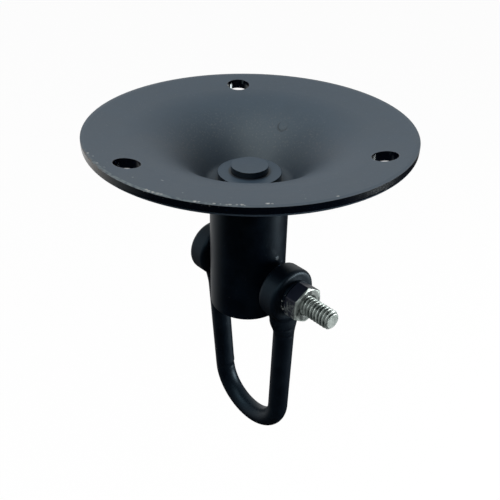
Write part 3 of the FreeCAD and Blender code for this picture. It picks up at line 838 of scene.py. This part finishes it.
def paint_body(name, dull, shine, pale, light=PAINT_LIGHT, worn_share=0.0, drops=()):
    """Black paint of the roughness dull and the specular level shine.

    pale is the least share of the light colour, drops are raised blobs of paint, and worn_share
    bares steel on the side towards -y.
    """
    material, surface, place = new_finish(name)
    surface.inputs["Specular IOR Level"].default_value = shine
    surface.inputs["Specular Tint"].default_value = (0.50, 0.80, 1.0, 1)
    mottle = cloud(place, 6.0, detail=4)
    peel = cloud(place, 0.9, detail=1)
    grit = cloud(place, 0.25, detail=2)
    speck = rise(cloud(place, 0.35, detail=0), 0.80, 0.84)
    colour = mixed(rise(mottle, 0.35, 0.7) * 0.6 + pale, PAINT_DARK, light)
    colour = mixed(speck * 0.2, colour, FINE_DUST)
    height = peel * 0.010 + grit * 0.003
    metal = None
    if drops:
        drop = spots(place, drops)
        colour = mixed(drop, colour, DROP_TONE)
        height = height + drop * 0.08
    if worn_share:
        bared_side = 1 - rise(axis_parts(place)[1], -4.6, -3.4)
        chipped = rise(cloud(place, 0.9, detail=2), 0.69 - worn_share, 0.74 - worn_share)
        worn = chipped * bared_side * 0.8
        colour = mixed(worn, colour, BARE_STEEL)
        height = height - worn * 0.02
        metal = worn * 0.3
    coat(surface, place, colour, dull + mottle * 0.10 + grit * 0.05, height, metal)
    return material


shackle_paint = paint_body("satin_black", dull=0.36, shine=0.24, pale=0.4, light=PAINT_SATIN)
barrel_paint = paint_body("glossy_black", dull=0.26, shine=0.27, pale=0.08, drops=DROPS)
washer_paint = paint_body("chipped_black", dull=0.36, shine=0.22, pale=0.2, worn_share=0.10)
print("black paints:", shackle_paint.name, barrel_paint.name, washer_paint.name)

# %% [markdown]
# ## Paint of the plate
#
# The plate, its collar and the head of the pin wear a duller slate coat on every face that looks up;
# their edges and the walls of the holes are painted black as shade. The near rim carries the marks of
# storage: a pale rubbed line on its land, white chips and one rusty stretch. Dust lies on the slope of
# the funnel, painted shade darkens the funnel towards the pin, a painted contact shadow rings the foot of
# the collar and the head of the pin, and a small crescent is dented into the funnel, its near rim
# painted dark as its shadow.

# %% Colours and places on the plate
SLATE_DARK = (0.022, 0.041, 0.064, 1)
SLATE_LIGHT = (0.033, 0.056, 0.085, 1)
PALE_SPECK = (0.25, 0.27, 0.29, 1)
GREY_DUST = (0.16, 0.155, 0.15, 1)
RUBBED_PAINT = (0.20, 0.24, 0.25, 1)
RUST = (0.09, 0.05, 0.028, 1)
CHIPPED_PAINT = (0.55, 0.56, 0.54, 1)
CRESCENT, CRESCENT_RADIUS = (-7.9 * MM, 21.6 * MM, 0.0), 1.6
CHIPS = around(
    (-107.3, 49.1, -0.1, 0.45, 0.6), (-104.5, 48.4, -0.1, 0.30, 0.5), (-98.8, 48.9, -0.1, 0.42, 0.6),
    (-95.0, 48.3, -0.1, 0.30, 0.4), (-84.0, 45.5, -0.5, 0.22, 0.4), (-76.0, 41.0, -1.2, 0.30, 0.4),
    (-75.4, 41.1, -1.2, 0.30, 0.4), (-73.9, 49.1, -0.1, 0.50, 0.7), (-72.8, 49.2, -0.1, 0.50, 0.8),
    (-71.3, 49.2, -0.1, 0.50, 0.8), (-69.8, 49.1, -0.1, 0.45, 0.6), (-68.6, 49.0, -0.1, 0.45, 0.6),
    (-63.9, 45.2, -0.6, 0.25, 0.4), (-57.9, 49.3, -0.1, 0.50, 0.9), (-56.8, 49.1, -0.1, 0.35, 0.6),
    (-52.4, 49.1, -0.1, 0.42, 0.7), (-50.5, 49.0, -0.1, 0.30, 0.4), (-48.6, 49.0, -0.1, 0.35, 0.5),
    (-47.7, 48.9, -0.1, 0.45, 0.8), (-45.9, 48.7, -0.1, 0.35, 0.6), (-44.4, 48.6, -0.1, 0.48, 0.9),
    (-43.6, 49.0, -0.1, 0.32, 0.5), (-36.9, 47.7, -0.2, 0.60, 1.0), (-35.7, 47.9, -0.2, 0.36, 0.6),
    (-25.0, 46.2, -0.4, 0.20, 0.3), (-15.5, 48.4, -0.1, 0.42, 0.7),
)
HOLE_RADIUS = 3.8
HOLE_CIRCLE = 41.35 * MM
HOLES = [(HOLE_CIRCLE * np.cos(t), HOLE_CIRCLE * np.sin(t), 0.0) for t in np.radians([24, 144, 264])]
print(len(CHIPS), "chips and", len(HOLES), "holes")


# %% Masks of the plate
def painted_wall_shade(flat, radius, edge_radius):
    """Painted shade: 1 on the walls of the screw holes and outside edge_radius, 0 on the faces between
    them.
    """
    black = rise(radius, edge_radius - 0.12, edge_radius - 0.02)
    for middle in HOLES:
        wall = 1 - rise(distance(flat, middle), (HOLE_RADIUS + 0.03) * MM, (HOLE_RADIUS + 0.10) * MM)
        black = black.math("MAXIMUM", black, wall)
    return black


def storage_marks(place, bearing, radius, z):
    """Masks of the pale rubbed line, the rusty stretch and the white chips of the near rim."""
    near_side = near(bearing, -75.0, 50.0) * rise(radius, 48.7, 49.1) * rise(z, -0.6, -0.2)
    rubbed = near_side * rise(cloud(place, 1.5, detail=4), 0.35, 0.60)
    rusty_stretch = near(bearing, -102.0, 18.0) * rise(radius, 49.3, 49.7)
    rusty = rusty_stretch * rise(cloud(place, 1.2, detail=3), 0.35, 0.6)
    scuffed = near_side * rise(cloud(place, 0.9, detail=4), 0.65, 0.72)
    chip = bearing.math("MAXIMUM", spots(place, CHIPS), scuffed * 0.5)
    return rubbed, rusty, chip


# %% [markdown]
# The colour is laid in this order: the slate coat, its specks and dust, the rubbed line, the painted
# shade down the funnel, the painted contact shadows and the walls painted black as shade, rust, chips,
# and the dent with its painted shadow last.


# %% Paint of the plate
def paint_plate(name, edge_radius, contact_shadow_radius=-1.0, funnel_shade=0.0):
    """Slate on top; the walls of the holes and the wall beyond edge_radius are painted black as shade.

    A painted contact shadow blackens what lies within the given radius, and the last argument is the share
    of painted shade up the funnel.
    """
    material, surface, place = new_finish(name)
    surface.inputs["Specular IOR Level"].default_value = 0.60
    surface.inputs["Specular Tint"].default_value = (0.84, 0.97, 1.0, 1)
    x, y, z = axis_parts(place)
    radius = (x * x + y * y) ** 0.5
    bearing = x.math("ARCTAN2", y, x) * (180 / np.pi)
    flat = place.node("ShaderNodeVectorMath", {"operation": "MULTIPLY"}, {0: place, 1: (1.0, 1.0, 0.0)})
    # Painted shade: the walls of the holes and the outer wall are dark.
    black = painted_wall_shade(flat, radius, edge_radius)
    rubbed, rusty, chip = storage_marks(place, bearing, radius, z)
    mottle = cloud(place, 9.0, detail=5, roughness=0.6)
    peel = cloud(place, 1.1, detail=1)
    grit = cloud(place, 0.3, detail=2)
    speck = rise(cloud(place, 0.5, detail=1), 0.70, 0.80)
    smudge = cloud(place, 2.4, detail=4)
    colour = mixed(rise(mottle, 0.3, 0.75) * 0.6 + smudge * 0.4, SLATE_DARK, SLATE_LIGHT)
    colour = mixed(speck * 0.3, colour, PALE_SPECK)
    dusty = near(radius, 20.0, 13.0) * rise(cloud(place, 0.6, detail=3), 0.54, 0.72)
    colour = mixed(dusty * 0.45, colour, GREY_DUST)
    colour = mixed(rubbed * 0.8, colour, RUBBED_PAINT)
    # Painted contact shadow round the foot of the collar and the head of the pin.
    contact_shadow = 1 - rise(radius, contact_shadow_radius, contact_shadow_radius + 0.9)
    # Painted shade: darker down the funnel towards the pin.
    colour = mixed((1 - rise(radius, 13.0, 32.0)) * funnel_shade, colour, PAINT_DARK)
    # The painted shade of the walls and the painted contact shadow, in dark paint.
    colour = mixed(black.math("MAXIMUM", black, contact_shadow), colour, PAINT_DARK)
    colour = mixed(rusty * 0.7, colour, RUST)
    colour = mixed(chip, colour, CHIPPED_PAINT)
    ring = distance(flat, CRESCENT) * (1 / MM)
    # The crescent dent: its near rim is painted dark as its shadow, and the same ring is pressed into the
    # bump.
    dent_and_shadow = near(ring, CRESCENT_RADIUS, 0.45) * (1 - rise(y, 20.6, 22.6) * 0.8)
    colour = mixed(dent_and_shadow * 0.6, colour, PAINT_DARK)
    roughness = 0.44 + mottle * 0.10 + grit * 0.05 - black * 0.36
    coat(surface, place, colour, roughness, peel * 0.012 + grit * 0.003 - chip * 0.03 - dent_and_shadow * 0.15)
    return material


plate_paint = paint_plate("slate_plate", edge_radius=50.0, contact_shadow_radius=10.4, funnel_shade=0.6)
collar_paint = paint_plate("slate_collar", edge_radius=10.0, contact_shadow_radius=6.2)
pin_paint = paint_plate("slate_pin", edge_radius=5.9)
print("slate paints:", plate_paint.name, collar_paint.name, pin_paint.name)

# %% [markdown]
# ## Zinc
#
# The bolt and the nut are zinc plated: a cool, slightly green white metal with a dull bloom. Where
# they stick out of the black eye they caught some of its paint, which is thick near the eye and worn
# off lower down; the dark of the nut's side facets is partly this paint and partly a painted reflection
# of the black eye. The thread's roots and the nut's face round the bore are darker.

# %% Zinc with overspray
ZINC_LIGHT = (0.68, 0.77, 0.73, 1)
ZINC_DARK = (0.40, 0.47, 0.44, 1)
DARKER_TONE = (0.022, 0.032, 0.030, 1)
PAINT_AND_REFLECTION = (0.006, 0.010, 0.024, 1)


def zinc(name, cover_end, cover_radius, darker_radii):
    """Zinc under black overspray and a painted reflection of the black eye, which lie up to a length along
    the bolt and beyond a radius from it.

    The last argument holds two radii: the zinc is darker below the first, in the thread's roots and round
    the nut's bore, and that fades out at the second.
    """
    material, surface, place = new_finish(name)
    x, y, z = axis_parts(place)
    up = z + BOLT_DEPTH
    radius = (y * y + up * up) ** 0.5
    grain = cloud(place, 0.5, detail=4, roughness=0.6)
    stain = cloud(place, 2.5, detail=3)
    colour = mixed(rise(stain, 0.35, 0.7), ZINC_LIGHT, ZINC_DARK)
    # Darker in the thread's roots and on the nut's face round the bore.
    groove = (1 - rise(radius, *darker_radii)) * (1 - rise(x, BOLT_END - 0.35, BOLT_END - 0.15))
    patchy = 0.68 + rise(stain, 0.4, 0.6) * 0.3
    colour = mixed(groove * patchy, colour, DARKER_TONE)
    bloom = 0.40 + rise(cloud(place, 1.2, detail=3), 0.4, 0.6) * 0.20
    wear = cloud(place, 1.1, detail=4, roughness=0.65)
    lower = 1 - rise(up, 0.5, 3.6)
    # Dark cover of the side facets: overspray, and partly a painted reflection of the black eye.
    paint_and_reflection_zone = (1 - rise(x, cover_end - 0.3, cover_end)) * rise(radius, cover_radius - 0.1, cover_radius)
    paint_and_reflection = paint_and_reflection_zone * (1 - rise(wear, 0.45, 0.60) * lower * 0.3)
    colour = mixed(paint_and_reflection, colour, PAINT_AND_REFLECTION)
    roughness = 0.24 + grain * 0.16 + paint_and_reflection * 0.12 + groove * 0.2
    metal = (1 - paint_and_reflection) * (1 - bloom) * (1 - groove * 0.6)
    coat(surface, place, colour, roughness, grain * 0.006 + paint_and_reflection * 0.01, metal)
    return material


bolt_zinc = zinc("zinc_bolt", cover_end=22.0, cover_radius=3.0, darker_radii=(2.65, 3.08))
nut_zinc = zinc("zinc_nut", cover_end=NUT_FRONT - 0.35, cover_radius=5.3, darker_radii=(4.9, 5.7))
print("zinc:", bolt_zinc.name, nut_zinc.name)

# %% [markdown]
# ## Dress every piece
#
# The new pieces get their finish as their only material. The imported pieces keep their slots, and
# every slot of a piece shows the same paint.

# %% Give each piece its finish
for piece, material in (
    (bolt, bolt_zinc), (nut, nut_zinc), (washer, washer_paint), (shackle, shackle_paint),
):
    piece.data.materials.clear()
    piece.data.materials.append(material)
    print("%-14s wears %s" % (piece.name, material.name))
for node, material in (
    ("ceiling_plate", plate_paint), ("thrust_collar", collar_paint), ("pivot_pin", pin_paint),
    ("barrel", barrel_paint),
):
    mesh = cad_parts[node].data
    for k in range(len(mesh.materials)):
        mesh.materials[k] = material
    print("%-14s wears %s" % (node, material.name))
